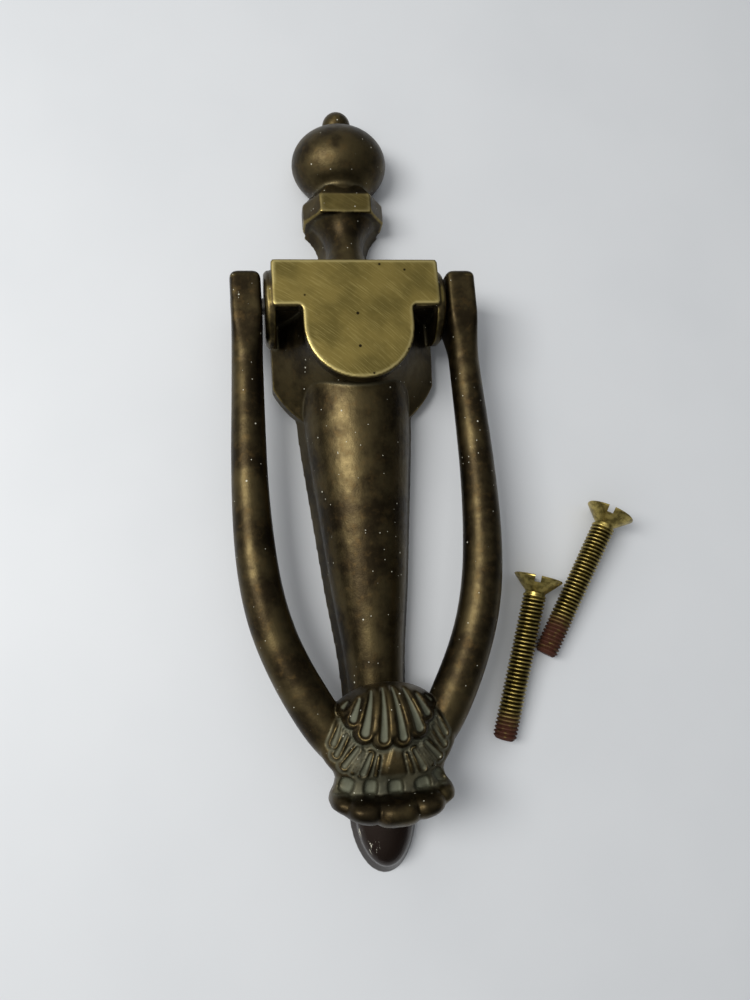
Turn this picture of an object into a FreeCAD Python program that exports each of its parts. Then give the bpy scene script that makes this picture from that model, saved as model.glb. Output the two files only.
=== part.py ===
"""Cast brass door knocker with a hinged stirrup striker, its hinge pins and its two fixing screws.

Millimetres. The knocker lies on its back: the door face is the plane Z = 0, +Z points away from the
door, +Y points up the door towards the finial and X runs across. The origin is on the door face,
midway between the two tapped fixing holes.
"""

import FreeCAD, Part
import math
import os

Vector = FreeCAD.Vector

# ---- fixing to the door ----
FIXING_SPACING = 104.0      # between the two tapped holes, along Y
TAP_RADIUS = 2.5            # tapping-size bore for an M6 thread
UPPER_TAP_DEPTH = 15.0
LOWER_TAP_DEPTH = 6.5
TAP_MOUTH_CHAMFER = 0.5

# ---- hinge ----
HINGE_Y = 59.0
HINGE_Z = 14.5
PIN_RADIUS = 2.0
PIN_RUNNING_CLEARANCE = 0.05
PIN_REACH_IN_HEAD = 9.0     # how far a pin goes into the head, from the boss face

# ---- head ----
HEAD_TOP_ABOVE_HINGE = 9.0
HEAD_DEPTH = 22.1           # door face to the flat front of the head plate
PLATE_HALF_WIDTH = 20.7
PLATE_THICKNESS = 3.4
WING_HEIGHT = 12.1
SHIELD_RADIUS = 13.6
SHIELD_DROP = 5.0           # wing's lower edge to the centre of the shield's round end
PLATE_CORNER = 0.9
BOSS_FACE_X = 22.5          # flat face of the round boss that the arm turns against
BOSS_RADIUS = 9.6
COVE_REACH = 9.9            # how far the cove under the shield spreads beyond it
COVE_FOOT_Z = 4.5
COVE_HOLLOW = 1.6           # depth of the cove's curve from a straight slope
SHOULDER_HALF_WIDTH = 21.2

# ---- column and foot ----
COLUMN_TOP_HALF_WIDTH = 15.6
COLUMN_MID_HALF_WIDTH = 12.6
COLUMN_LOW_HALF_WIDTH = 8.3
FOOT_HALF_WIDTH = 8.5
COLUMN_TOP_HEIGHT = 17.0
COLUMN_LOW_HEIGHT = 11.0
FOOT_HEIGHT = 8.8
COLUMN_WALL_Z = 4.5         # height of the steep side wall at the column's top
FOOT_WALL_Z = 3.2
WALL_DRAFT = 0.40           # how far the side wall leans in, per mm of height
COLUMN_LENGTH = 98.1        # shoulder to the start of the foot's round end
COLUMN_MID_SHARE = 0.31     # where along the column the middle width is
COLUMN_LOW_SHARE = 0.70     # where along the column the low width is
FOOT_END_LENGTH = 15.6
FOOT_STEP = 0.08            # the round end is this much narrower and lower than the column
POCKET_WALL = 3.6           # metal left round the cored pocket in the column's back

# ---- finial ----
FINIAL_AXIS_Z = 6.0
NECK_HALF_WIDTH = 7.3
NECK_ROOT_HALF_WIDTH = 8.8
NECK_LENGTH = 13.0
COLLAR_HALF_WIDTH = 10.8
COLLAR_FRONT_Z = 13.6
COLLAR_BAND = 5.2
COLLAR_LOWER_SLOPE = 4.5
COLLAR_UPPER_SLOPE = 2.8
BALL_HALF_WIDTH = 12.9
BALL_HALF_LENGTH = 10.4
BALL_FRONT_Z = 17.0
KNOB_RADIUS = 3.9
KNOB_LENGTH = 4.9

# ---- striker ----
ARM_GAP = 0.6               # running gap between an arm and its boss
ARM_WIDTH = 7.7
KNUCKLE_FRONT_Z = 21.2
KNUCKLE_BACK_Z = 8.0
KNUCKLE_TOP_ABOVE_HINGE = 7.1
KNUCKLE_BELOW_HINGE = 6.0
KNUCKLE_ROUND = 1.6
KNUCKLE_BLEND_LENGTH = 10.0 # wedge below the knuckle that leads into the round bar
ARM_BULGE = 1.25            # how far the middle of an arm bows out
ARM_MID_RADIUS = 4.6
ARM_END_RADIUS = 5.2
ARM_END_ABOVE_LIP = 20.0    # lip's end to where the arms' lines meet the shell
LIP_BELOW_FOOT_START = 0.45 # the shell's lip ends this far below where the foot's round end starts
SHELL_CLEARANCE = 0.6       # between the shell's back and the column's front
ARM_ROOT_BELOW_PIN = 1.8    # the round bar starts this far below the pin's hole, inside the knuckle
DOME_FRONT_Z = 26.5
WAIST_FRONT_Z = 22.5
LIP_FRONT_Z = 27.0
DOME_HALF_WIDTH = 12.6
WAIST_HALF_WIDTH = 12.2
LIP_HALF_WIDTH = 13.9
LIP_LOBES = 5
PETALS = 7
STRIKE_PAD_RADIUS = 4.2
STRIKE_PAD_ABOVE_LIP = 7.0  # lip's end to the pad's centre
STRIKE_PAD_LENGTH = 5.0     # the moving pad, from its face into the shell
STRIKE_PAD_BELOW_COLUMN = 1.0 # the fixed pad's face, below the column's front at its low width
STRIKE_GAP = 0.2

# ---- fixing screws: M6, slotted, countersunk ----
SCREW_LENGTH = 42.0
SCREW_THREAD_RADIUS = 3.0
SCREW_NECK_RADIUS = 2.65
SCREW_HEAD_RADIUS = 6.25
SCREW_RIM = 0.5
SCREW_SLOT_WIDTH = 1.6
SCREW_SLOT_DEPTH = 1.7
SCREW_TIP_CHAMFER = 0.9
SCREW_NECK_LENGTH = 1.2
SCREW_HEADS = {             # where each loose screw lies: head centre X, Y and heading of its tip
    "screw_1": (44.3, -12.0, -107.5),
    "screw_2": (66.4, 4.1, -120.9),
}

# ---- places that follow from the sizes above ----
HEAD_TOP_Y = HINGE_Y + HEAD_TOP_ABOVE_HINGE
WING_BOTTOM_Y = HEAD_TOP_Y - WING_HEIGHT
SHIELD_CENTRE_Y = WING_BOTTOM_Y - SHIELD_DROP
PLATE_BACK_Z = HEAD_DEPTH - PLATE_THICKNESS
SHOULDER_RADIUS = SHIELD_RADIUS + COVE_REACH
SHOULDER_Y = SHIELD_CENTRE_Y - math.sqrt(SHOULDER_RADIUS ** 2 - COLUMN_TOP_HALF_WIDTH ** 2)
FOOT_START_Y = SHOULDER_Y - COLUMN_LENGTH
FOOT_TIP_Y = FOOT_START_Y - FOOT_END_LENGTH
ARM_INNER_X = BOSS_FACE_X + ARM_GAP
ARM_CENTRE_X = ARM_INNER_X + ARM_WIDTH / 2
ARM_OUTER_X = ARM_INNER_X + ARM_WIDTH
LIP_BOTTOM_Y = FOOT_START_Y - LIP_BELOW_FOOT_START
SHELL_BACK_Z = COLUMN_LOW_HEIGHT + SHELL_CLEARANCE
STRIKE_Y = LIP_BOTTOM_Y + STRIKE_PAD_ABOVE_LIP
STRIKE_PAD_FRONT_Z = COLUMN_LOW_HEIGHT - STRIKE_PAD_BELOW_COLUMN


def polygon_wire(points):
    """Closed wire of straight edges through the points."""
    return Part.makePolygon(points + [points[0]])


def smooth_edge(points):
    """One edge along a smooth curve through the points."""
    curve = Part.BSplineCurve()
    curve.interpolate(points)
    return curve.toShape()


def arch_section(y, half_width, wall_z, height, base_z=0.0):
    """Closed half-round section across Y: flat back, steep side walls and an arched front."""
    wall_top = base_z + wall_z
    spring_x = half_width - WALL_DRAFT * wall_z
    crown = height - wall_z - base_z
    steps = 12
    arch = []
    for i in range(steps + 1):
        angle = math.pi * i / steps
        arch.append(Vector(spring_x * math.cos(angle), y, wall_top + crown * math.sin(angle)))
    right_foot = Vector(half_width, y, base_z)
    left_foot = Vector(-half_width, y, base_z)
    edges = [
        Part.makeLine(left_foot, right_foot),
        Part.makeLine(right_foot, arch[0]),
        smooth_edge(arch),
        Part.makeLine(arch[-1], left_foot),
    ]
    return Part.Wire(edges)


def column_sizes(share):
    """Half-width, wall height and front height of the column at a share of its length."""
    wall = COLUMN_WALL_Z + (FOOT_WALL_Z - COLUMN_WALL_Z) * share
    if share <= COLUMN_LOW_SHARE:
        part_way = share / COLUMN_LOW_SHARE
        height = COLUMN_TOP_HEIGHT + (COLUMN_LOW_HEIGHT - COLUMN_TOP_HEIGHT) * part_way
    else:
        part_way = (share - COLUMN_LOW_SHARE) / (1 - COLUMN_LOW_SHARE)
        height = COLUMN_LOW_HEIGHT + (FOOT_HEIGHT - COLUMN_LOW_HEIGHT) * part_way
    stations = [
        (0.0, COLUMN_TOP_HALF_WIDTH),
        (COLUMN_MID_SHARE, COLUMN_MID_HALF_WIDTH),
        (COLUMN_LOW_SHARE, COLUMN_LOW_HALF_WIDTH),
        (1.0, FOOT_HALF_WIDTH),
    ]
    for (start, start_width), (end, end_width) in zip(stations, stations[1:]):
        if share <= end:
            return start_width + (end_width - start_width) * (share - start) / (end - start), wall, height
    return FOOT_HALF_WIDTH, wall, height


def column_and_foot():
    """Half-round column that tapers down to the bullet-shaped foot."""
    head_overlap = SHIELD_RADIUS * 0.8
    sections = [arch_section(SHOULDER_Y + head_overlap, COLUMN_TOP_HALF_WIDTH, COLUMN_WALL_Z,
                             COLUMN_TOP_HEIGHT)]
    for share in (0.0, COLUMN_MID_SHARE, 0.5, COLUMN_LOW_SHARE, 0.85, 1.0):
        half_width, wall, height = column_sizes(share)
        sections.append(arch_section(SHOULDER_Y - COLUMN_LENGTH * share, half_width, wall, height))
    column = Part.makeLoft(sections, True, False)
    return column.fuse(foot_end())


def foot_end():
    """Round end of the foot: a bullet outline with a steep wall and a domed front."""
    inset = WALL_DRAFT * FOOT_WALL_Z / FOOT_HALF_WIDTH
    spring = 1 - inset
    steps = 8
    crown = FOOT_HEIGHT - FOOT_STEP - FOOT_WALL_Z
    arch = []
    for i in range(steps + 1):
        angle = math.pi / 2 * i / steps
        arch.append(Vector(spring * math.cos(angle), 0, FOOT_WALL_Z + crown * math.sin(angle)))
    edges = [
        Part.makeLine(Vector(0, 0, 0), Vector(1, 0, 0)),
        Part.makeLine(Vector(1, 0, 0), arch[0]),
        smooth_edge(arch),
        Part.makeLine(arch[-1], Vector(0, 0, 0)),
    ]
    bullet = Part.Face(Part.Wire(edges)).revolve(Vector(0, 0, 0), Vector(0, 0, 1), 360)
    stretch = FreeCAD.Matrix()
    stretch.scale(FOOT_HALF_WIDTH - FOOT_STEP, FOOT_END_LENGTH, 1)
    bullet = bullet.transformGeometry(stretch)
    bullet.translate(Vector(0, FOOT_START_Y, 0))
    overlap = 3.0
    keep = Part.makeBox(4 * FOOT_HALF_WIDTH, FOOT_END_LENGTH + 0.5 + overlap, 2 * FOOT_HEIGHT,
                        Vector(-2 * FOOT_HALF_WIDTH, FOOT_START_Y - FOOT_END_LENGTH - 0.5, -1))
    return bullet.common(keep)


def column_pocket():
    """Cored hollow in the back of the column, between the two tapped ends."""
    sections = []
    for share in (0.04, COLUMN_MID_SHARE, 0.5, COLUMN_LOW_SHARE):
        half_width, wall, height = column_sizes(share)
        y = SHOULDER_Y - COLUMN_LENGTH * share
        sections.append(arch_section(y, half_width - POCKET_WALL, wall, height - POCKET_WALL, -1.0))
    return Part.makeLoft(sections, True, False)


def head_plate():
    """Flat T-shaped front plate: two square wings over a shield with a round lower end."""
    top, wing, centre = HEAD_TOP_Y, WING_BOTTOM_Y, SHIELD_CENTRE_Y
    z = PLATE_BACK_Z
    corners = [
        Vector(-SHIELD_RADIUS, centre, z), Vector(-SHIELD_RADIUS, wing, z),
        Vector(-PLATE_HALF_WIDTH, wing, z), Vector(-PLATE_HALF_WIDTH, top, z),
        Vector(PLATE_HALF_WIDTH, top, z), Vector(PLATE_HALF_WIDTH, wing, z),
        Vector(SHIELD_RADIUS, wing, z), Vector(SHIELD_RADIUS, centre, z),
    ]
    edges = [Part.makeLine(a, b) for a, b in zip(corners, corners[1:])]
    low = Vector(0, centre - SHIELD_RADIUS, z)
    edges.append(Part.Arc(corners[-1], low, corners[0]).toShape())
    plate = Part.Face(Part.Wire(edges)).extrude(Vector(0, 0, PLATE_THICKNESS))
    upright = [e for e in plate.Edges if is_upright(e) and abs(e.Vertexes[0].X) > SHIELD_RADIUS - 0.01
               and e.Vertexes[0].Y > centre + 0.01]
    return plate.makeFillet(PLATE_CORNER, upright)


def is_upright(edge):
    """True for a straight edge that runs along Z."""
    if not isinstance(edge.Curve, Part.Line) or len(edge.Vertexes) != 2:
        return False
    a, b = (v.Point for v in edge.Vertexes)
    return abs(a.x - b.x) < 1e-6 and abs(a.y - b.y) < 1e-6


def cove():
    """Hollow-curved skirt that spreads from behind the shield down to the shoulder."""
    inner = SHIELD_RADIUS - 0.6
    outer = SHOULDER_RADIUS
    top = Vector(inner, 0, PLATE_BACK_Z)
    foot = Vector(outer, 0, COVE_FOOT_Z)
    middle = (top + foot) * 0.5
    slope = (foot - top).normalize()
    inward = Vector(slope.z, 0, -slope.x)
    middle = middle + inward * COVE_HOLLOW
    curve = Part.Arc(top, middle, foot).toShape()
    edges = [
        curve,
        Part.makeLine(foot, Vector(outer, 0, 0)),
        Part.makeLine(Vector(outer, 0, 0), Vector(0, 0, 0)),
        Part.makeLine(Vector(0, 0, 0), Vector(0, 0, PLATE_BACK_Z)),
        Part.makeLine(Vector(0, 0, PLATE_BACK_Z), top),
    ]
    half_profile = Part.Face(Part.Wire(edges))
    round_part = half_profile.revolve(Vector(0, 0, 0), Vector(0, 0, 1), 360)
    round_part.translate(Vector(0, SHIELD_CENTRE_Y, 0))
    lift = Vector(0, HEAD_TOP_Y - SHIELD_CENTRE_Y - 3.0, 0)
    right = half_profile.copy()
    right.translate(Vector(0, SHIELD_CENTRE_Y, 0))
    right = right.extrude(lift)
    left = right.mirror(Vector(0, 0, 0), Vector(1, 0, 0))
    keep = Part.makeBox(2 * SHOULDER_HALF_WIDTH, 2 * SHOULDER_RADIUS, HEAD_DEPTH,
                        Vector(-SHOULDER_HALF_WIDTH, HEAD_TOP_Y - 2 * SHOULDER_RADIUS, 0))
    return round_part.fuse([right, left]).common(keep)


def head_core():
    """Square block behind the wings, with a round boss on each side for the arms to turn against."""
    core = Part.makeBox(2 * PLATE_HALF_WIDTH - 0.4, WING_HEIGHT - 0.6, PLATE_BACK_Z,
                        Vector(-PLATE_HALF_WIDTH + 0.2, WING_BOTTOM_Y + 0.6, 0))
    boss = Part.makeCylinder(BOSS_RADIUS, 2 * BOSS_FACE_X, Vector(-BOSS_FACE_X, HINGE_Y, HINGE_Z - 2.2),
                             Vector(1, 0, 0))
    boss = boss.makeChamfer(0.8, [e for e in boss.Edges if isinstance(e.Curve, Part.Circle)])
    keep = Part.makeBox(2 * BOSS_FACE_X, 2 * BOSS_RADIUS, HEAD_DEPTH - 0.4,
                        Vector(-BOSS_FACE_X, HEAD_TOP_Y - 2 * BOSS_RADIUS - 0.2, 0))
    middle = Part.makeBox(2 * SHOULDER_HALF_WIDTH - 2.4, 3 * BOSS_RADIUS, 2 * HEAD_DEPTH,
                          Vector(-SHOULDER_HALF_WIDTH + 1.2, HINGE_Y - 1.5 * BOSS_RADIUS, -1))
    cheeks = boss.common(keep).cut(middle)
    return core.fuse(cheeks)


def finial_outline(y, half_width, front_z):
    """Closed eight-sided section across Y with a flat back and a flat front."""
    side_low = FINIAL_AXIS_Z * 0.55
    side_high = FINIAL_AXIS_Z + 1.6
    flat = half_width * 0.61
    points = [
        Vector(-half_width + 1.2, y, 0), Vector(half_width - 1.2, y, 0),
        Vector(half_width, y, side_low), Vector(half_width, y, side_high),
        Vector(flat, y, front_z), Vector(-flat, y, front_z),
        Vector(-half_width, y, side_high), Vector(-half_width, y, side_low),
    ]
    return polygon_wire(points)


def finial():
    """Neck, faceted collar, flattened ball and knob on top of the head, all flat-backed."""
    root_y = HEAD_TOP_Y - 0.5
    waist_y = HEAD_TOP_Y + NECK_LENGTH
    band_low = waist_y + COLLAR_LOWER_SLOPE
    band_high = band_low + COLLAR_BAND
    ball_low = band_high + COLLAR_UPPER_SLOPE
    ball_y = ball_low + BALL_HALF_LENGTH * 0.96
    neck = Part.makeLoft([
        arch_section(root_y, NECK_ROOT_HALF_WIDTH, COLUMN_WALL_Z, COLLAR_FRONT_Z + 0.4),
        arch_section(root_y + NECK_LENGTH * 0.5, NECK_HALF_WIDTH + 0.3, COLUMN_WALL_Z, COLLAR_FRONT_Z - 1.3),
        arch_section(waist_y, NECK_HALF_WIDTH, COLUMN_WALL_Z, COLLAR_FRONT_Z - 1.9),
        arch_section(waist_y + COLLAR_LOWER_SLOPE * 0.5, NECK_HALF_WIDTH + 1.2, COLUMN_WALL_Z,
                     COLLAR_FRONT_Z - 1.4),
        arch_section(band_low, COLLAR_HALF_WIDTH - 0.3, COLUMN_WALL_Z, COLLAR_FRONT_Z - 0.2),
    ], True, False)
    band = Part.makeLoft([finial_outline(band_low, COLLAR_HALF_WIDTH, COLLAR_FRONT_Z),
                          finial_outline(band_high, COLLAR_HALF_WIDTH, COLLAR_FRONT_Z)], True, True)
    crest = Part.makeLoft([finial_outline(band_high, COLLAR_HALF_WIDTH, COLLAR_FRONT_Z),
                           finial_outline(ball_low + 0.6, NECK_HALF_WIDTH, COLLAR_FRONT_Z - 1.6)], True, True)
    ball = turned_ball(ball_low, ball_y)
    knob = Part.makeSphere(KNOB_RADIUS, Vector(0, ball_y + BALL_HALF_LENGTH + KNOB_LENGTH - KNOB_RADIUS,
                                               FINIAL_AXIS_Z + 0.6))
    knob_stem = Part.makeCylinder(KNOB_RADIUS * 0.85, 3.0, Vector(0, ball_y + BALL_HALF_LENGTH - 2.4,
                                                                  FINIAL_AXIS_Z + 0.6), Vector(0, 1, 0))
    above_door = Part.makeBox(6 * BALL_HALF_WIDTH, 6 * BALL_HALF_WIDTH, 3 * BALL_FRONT_Z,
                              Vector(-3 * BALL_HALF_WIDTH, HEAD_TOP_Y - 2, 0))
    return neck.fuse([band, crest, ball, knob, knob_stem]).common(above_door)


def turned_ball(low_y, centre_y):
    """Ball of the finial: wider than it is long, pulled in to a small lip where it meets the collar."""
    length = BALL_HALF_LENGTH
    radius = BALL_HALF_WIDTH
    points = [Vector(0, centre_y + length, 0)]
    for degrees in (75, 60, 45, 30, 15, 0, -15, -30, -42):
        angle = math.radians(degrees)
        points.append(Vector(radius * math.cos(angle), centre_y + length * math.sin(angle), 0))
    neck_y = low_y - 0.2
    points.append(Vector(NECK_HALF_WIDTH + 0.3, neck_y + 1.6, 0))
    points.append(Vector(NECK_HALF_WIDTH + 0.35, neck_y, 0))
    curve = Part.BSplineCurve()
    curve.interpolate(points)
    edges = [
        curve.toShape(),
        Part.makeLine(points[-1], Vector(0, neck_y, 0)),
        Part.makeLine(Vector(0, neck_y, 0), points[0]),
    ]
    ball = Part.Face(Part.Wire(edges)).revolve(Vector(0, 0, 0), Vector(0, 1, 0), 360)
    flatten = FreeCAD.Matrix()
    flatten.scale(1, 1, (BALL_FRONT_Z - FINIAL_AXIS_Z) / radius)
    ball = ball.transformGeometry(flatten)
    ball.translate(Vector(0, 0, FINIAL_AXIS_Z))
    return ball


def tapped_hole(y, depth):
    """Blind hole from the door face, with a small countersunk mouth."""
    hole = Part.makeCylinder(TAP_RADIUS, depth, Vector(0, y, 0))
    mouth = Part.makeCone(TAP_RADIUS + TAP_MOUTH_CHAMFER, TAP_RADIUS, TAP_MOUTH_CHAMFER, Vector(0, y, 0))
    return hole.fuse(mouth)


def base():
    """Main casting: finial, head, column and foot in one piece."""
    pad = Part.makeCylinder(STRIKE_PAD_RADIUS, STRIKE_PAD_FRONT_Z - 2, Vector(0, STRIKE_Y, 2))
    body = head_plate().fuse([head_core(), cove(), column_and_foot(), finial(), pad])
    cuts = [column_pocket(), tapped_hole(FIXING_SPACING / 2, UPPER_TAP_DEPTH),
            tapped_hole(-FIXING_SPACING / 2, LOWER_TAP_DEPTH)]
    bore = PIN_RADIUS + PIN_RUNNING_CLEARANCE
    for side in (-1, 1):
        start = Vector(side * BOSS_FACE_X, HINGE_Y, HINGE_Z)
        cuts.append(Part.makeCylinder(bore, PIN_REACH_IN_HEAD, start, Vector(-side, 0, 0)))
    return body.cut(cuts)


def arm_path():
    """Centre points and radii of the right arm, from the knuckle down into the shell."""
    mid_x = ARM_CENTRE_X + ARM_BULGE
    shell_y = LIP_BOTTOM_Y + ARM_END_ABOVE_LIP
    straight = HINGE_Y - shell_y
    thin = ARM_WIDTH / 2 + 0.1
    root = (PIN_RADIUS + ARM_ROOT_BELOW_PIN) / straight
    shares = [
        (root, ARM_CENTRE_X, thin), (0.12, ARM_CENTRE_X + 0.35, thin), (0.23, ARM_CENTRE_X + 0.7, thin + 0.1),
        (0.33, mid_x - 0.2, 0.5 * (thin + ARM_MID_RADIUS)), (0.42, mid_x, ARM_MID_RADIUS - 0.2),
        (0.51, mid_x - 0.1, ARM_MID_RADIUS), (0.59, mid_x - 0.5, ARM_MID_RADIUS + 0.2),
        (0.665, mid_x - 1.3, ARM_MID_RADIUS + 0.3), (0.735, mid_x - 2.7, ARM_MID_RADIUS + 0.4),
        (0.80, mid_x - 4.8, ARM_MID_RADIUS + 0.4), (0.87, mid_x - 7.9, ARM_END_RADIUS - 0.1),
        (0.93, mid_x - 11.2, ARM_END_RADIUS), (0.99, mid_x - 14.4, ARM_END_RADIUS - 0.1),
        (1.04, mid_x - 17.4, ARM_END_RADIUS - 0.9), (1.08, mid_x - 20.0, ARM_END_RADIUS - 2.2),
    ]
    return [(Vector(x, HINGE_Y - straight * share, HINGE_Z), radius) for share, x, radius in shares]


def right_arm():
    """Round bar that bows out and curves in to the shell, under a squared hinge knuckle."""
    path = arm_path()
    curve = Part.BSplineCurve()
    curve.interpolate([point for point, radius in path])
    rings = []
    for point, radius in path:
        along = curve.tangent(curve.parameter(point))[0]
        rings.append(Part.Wire(Part.makeCircle(radius, point, along)))
    bar = Part.makeLoft(rings, True, False)
    knuckle = Part.makeBox(ARM_WIDTH, KNUCKLE_TOP_ABOVE_HINGE + KNUCKLE_BELOW_HINGE,
                           KNUCKLE_FRONT_Z - KNUCKLE_BACK_Z,
                           Vector(ARM_INNER_X, HINGE_Y - KNUCKLE_BELOW_HINGE, KNUCKLE_BACK_Z))
    knuckle = knuckle.makeFillet(KNUCKLE_ROUND, knuckle.Edges)
    return bar.fuse([knuckle, knuckle_blend()]).cut(pin_hole(1))


def knuckle_blend():
    """Tapered wedge that leads the knuckle's deep block into the round bar."""
    half = ARM_WIDTH / 2
    low_y = HINGE_Y - KNUCKLE_BELOW_HINGE
    top = arm_rectangle(low_y + 2 * KNUCKLE_ROUND, half - 0.1, KNUCKLE_FRONT_Z - 0.1, KNUCKLE_BACK_Z + 0.1)
    narrow = 0.7 * half
    end = arm_rectangle(low_y - KNUCKLE_BLEND_LENGTH, narrow, HINGE_Z + narrow, HINGE_Z - narrow)
    return Part.makeLoft([top, end], True, True)


def arm_rectangle(y, half_width, front_z, back_z):
    """Rectangular section across Y, centred on the right arm."""
    left, right = ARM_CENTRE_X - half_width, ARM_CENTRE_X + half_width
    return polygon_wire([Vector(left, y, back_z), Vector(right, y, back_z),
                         Vector(right, y, front_z), Vector(left, y, front_z)])


def pin_hole(side):
    """Hole through a knuckle for its hinge pin, a press fit on the pin."""
    start = Vector(side * (ARM_INNER_X - 1), HINGE_Y, HINGE_Z)
    return Part.makeCylinder(PIN_RADIUS, ARM_WIDTH + 2, start, Vector(side, 0, 0))


def shell_core():
    """Body of the scallop shell: domed top, narrower waist and a proud lip."""
    stations = [
        (30.5, DOME_HALF_WIDTH * 0.62, SHELL_BACK_Z + 0.6, DOME_FRONT_Z - 8.0),
        (28.0, DOME_HALF_WIDTH * 0.9, SHELL_BACK_Z, DOME_FRONT_Z - 4.5),
        (23.5, DOME_HALF_WIDTH, SHELL_BACK_Z, DOME_FRONT_Z - 2.6),
        (17.5, DOME_HALF_WIDTH + 0.6, SHELL_BACK_Z, DOME_FRONT_Z - 3.4),
        (13.5, WAIST_HALF_WIDTH + 0.8, SHELL_BACK_Z, WAIST_FRONT_Z),
        (9.5, WAIST_HALF_WIDTH, SHELL_BACK_Z + 0.3, WAIST_FRONT_Z),
        (5.5, LIP_HALF_WIDTH - 1.0, SHELL_BACK_Z + 0.8, LIP_FRONT_Z - 1.6),
        (2.5, LIP_HALF_WIDTH - 3.0, SHELL_BACK_Z + 2.0, LIP_FRONT_Z - 3.0),
    ]
    rings = []
    for above, half_width, back, front in stations:
        y = LIP_BOTTOM_Y + above
        middle, depth = (front + back) / 2, (front - back) / 2
        steps = 16
        points = []
        for i in range(steps):
            angle = 2 * math.pi * i / steps
            c, s = math.cos(angle), math.sin(angle)
            squareness = 0.72
            points.append(Vector(half_width * math.copysign(abs(c) ** squareness, c), y,
                                 middle + depth * math.copysign(abs(s) ** squareness, s)))
        curve = Part.BSplineCurve()
        curve.interpolate(points, PeriodicFlag=True)
        rings.append(Part.Wire(curve.toShape()))
    return Part.makeLoft(rings, True, False)


def lip_lobes():
    """Row of rounded lobes along the lip of the shell."""
    lobes = []
    half_count = (LIP_LOBES - 1) / 2
    for i in range(LIP_LOBES):
        place = (i - half_count) / half_count
        radius = 4.9 - 1.7 * abs(place)
        x = place * (LIP_HALF_WIDTH - 3.2)
        y = LIP_BOTTOM_Y + radius + 3.4 * place * place
        lobes.append(Part.makeSphere(radius, Vector(x, y, LIP_FRONT_Z - radius - 1.5 * abs(place))))
    return lobes


def petals():
    """Fan of tapered flutes over the dome of the shell."""
    fan_root = Vector(0, LIP_BOTTOM_Y + 31.0, DOME_FRONT_Z - 5.6)
    fan = []
    half_count = (PETALS - 1) / 2
    for i in range(PETALS):
        place = (i - half_count) / half_count
        angle = math.radians(62 * place)
        length = 12.6 - 1.5 * abs(place)
        end = fan_root + Vector(math.sin(angle) * length, -math.cos(angle) * length,
                                2.5 - 3.6 * place * place)
        along = end - fan_root
        fan.append(Part.makeCone(0.8, 2.6, along.Length, fan_root, along))
        fan.append(Part.makeSphere(2.6, end))
    return fan


def striker():
    """Moving casting: two arms joined by the scallop shell that strikes the foot."""
    arm = right_arm()
    other = arm.mirror(Vector(0, 0, 0), Vector(1, 0, 0))
    pad = Part.makeCylinder(STRIKE_PAD_RADIUS, STRIKE_PAD_LENGTH,
                            Vector(0, STRIKE_Y, STRIKE_PAD_FRONT_Z + STRIKE_GAP))
    shell = shell_core().fuse([pad] + lip_lobes() + petals())
    return shell.fuse(arm).fuse(other)


def hinge_pin(side):
    """Plain pin, pressed into an arm, filed flush outside and turning in the head."""
    start = Vector(side * (BOSS_FACE_X - PIN_REACH_IN_HEAD + 0.5), HINGE_Y, HINGE_Z)
    length = PIN_REACH_IN_HEAD - 0.5 + ARM_GAP + ARM_WIDTH
    pin = Part.makeCylinder(PIN_RADIUS, length, start, Vector(side, 0, 0))
    inner_rim = [e for e in pin.Edges if isinstance(e.Curve, Part.Circle)
                 and abs(e.Curve.Center.x - start.x) < 0.01]
    return pin.makeChamfer(0.4, inner_rim)


def screw(head_x, head_y, heading):
    """Slotted countersunk machine screw, lying on the door-face plane with its rim and tip down."""
    head_height = SCREW_HEAD_RADIUS - SCREW_THREAD_RADIUS
    shank_start = SCREW_RIM + head_height
    body = Part.makeCylinder(SCREW_HEAD_RADIUS, SCREW_RIM)
    body = body.fuse([
        Part.makeCone(SCREW_HEAD_RADIUS, SCREW_THREAD_RADIUS, head_height, Vector(0, 0, SCREW_RIM)),
        Part.makeCylinder(SCREW_NECK_RADIUS, SCREW_NECK_LENGTH + 1, Vector(0, 0, shank_start - 1)),
        threaded_shank(shank_start + SCREW_NECK_LENGTH),
    ])
    slot = Part.makeBox(3 * SCREW_HEAD_RADIUS, SCREW_SLOT_WIDTH, SCREW_SLOT_DEPTH,
                        Vector(-1.5 * SCREW_HEAD_RADIUS, -SCREW_SLOT_WIDTH / 2, 0))
    slot.rotate(Vector(0, 0, 0), Vector(0, 0, 1), 20)
    body = body.cut(slot)
    tilt = math.degrees(math.asin((SCREW_HEAD_RADIUS - SCREW_THREAD_RADIUS) / (SCREW_LENGTH - SCREW_RIM)))
    body.rotate(Vector(0, 0, 0), Vector(0, 1, 0), 90 + tilt)
    body.rotate(Vector(0, 0, 0), Vector(0, 0, 1), heading)
    body.translate(Vector(head_x, head_y, -body.BoundBox.ZMin))
    return body


def threaded_shank(start):
    """Shank at the thread's outer size, chamfered at the tip."""
    shank = Part.makeCylinder(SCREW_THREAD_RADIUS, SCREW_LENGTH - start, Vector(0, 0, start))
    tip = [e for e in shank.Edges if isinstance(e.Curve, Part.Circle)
           and abs(e.Curve.Center.z - SCREW_LENGTH) < 0.01]
    return shank.makeChamfer(SCREW_TIP_CHAMFER, tip)


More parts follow.
